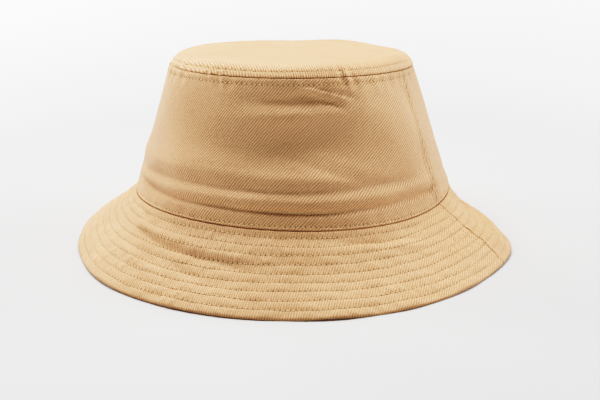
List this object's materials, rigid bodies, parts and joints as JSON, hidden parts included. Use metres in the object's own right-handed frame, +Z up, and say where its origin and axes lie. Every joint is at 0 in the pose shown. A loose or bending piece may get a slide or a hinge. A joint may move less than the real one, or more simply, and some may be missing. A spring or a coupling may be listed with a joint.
{
  "type": "bucket hat",
  "caption": "Soft cotton bucket hat: tapered oval crown with a low domed tip and a sloping brim quilted with concentric rows of stitching, open underneath for the head.",
  "frame": {"origin": "under the middle of the hat, on the level that the brim's edge rests on", "axes": "+Z up through the crown; -Y is the front of the hat, +X is the wearer's left"},
  "size_m": [0.258, 0.265, 0.1138],
  "materials": {
    "twill_shell": "sand cotton twill, soft sheen",
    "sewing_thread": "cream-sand sewing thread",
    "cotton_tape": "plain-woven cotton tape",
    "interlining": "white stiffened interlining, matte",
    "label_cloth": "bare woven label satin"
  },
  "bodies": {
    "hat": {"brim_interlining_back": "interlining", "brim_interlining_front": "interlining", "brim_stitch_row_1": "sewing_thread", "brim_stitch_row_2": "sewing_thread", "brim_stitch_row_3": "sewing_thread", "brim_stitch_row_4": "sewing_thread", "brim_stitch_row_5": "sewing_thread", "brim_stitch_row_6": "sewing_thread", "brim_stitch_row_7": "sewing_thread", "brim_stitch_row_8": "sewing_thread", "brim_stitch_row_9": "sewing_thread", "brim_under_back": "twill_shell", "brim_under_front": "twill_shell", "brim_upper_back": "twill_shell", "brim_upper_front": "twill_shell", "care_label_stitch": "sewing_thread", "crown_base_topstitch": "sewing_thread", "crown_side_back": "twill_shell", "crown_side_front": "twill_shell", "crown_tip": "twill_shell", "main_label": "label_cloth", "main_label_stitch": "sewing_thread", "side_seam_tape_left": "cotton_tape", "side_seam_tape_right": "cotton_tape", "side_seam_topstitch_left": "sewing_thread", "side_seam_topstitch_right": "sewing_thread", "sweatband": "cotton_tape", "sweatband_join_stitch": "sewing_thread", "tip_seam_tape": "cotton_tape", "tip_topstitch_lower": "sewing_thread", "tip_topstitch_upper": "sewing_thread"},
    "care_label": {"care_label": "label_cloth"}
  },
  "joints": [
    {"name": "care_label_hinge", "type": "hinge", "parent": "hat", "child": "care_label", "pos_m": [0.07874, 0, 0.06155], "axis": [0, 1, 0], "range_deg": [-12, 150]}
  ]
}
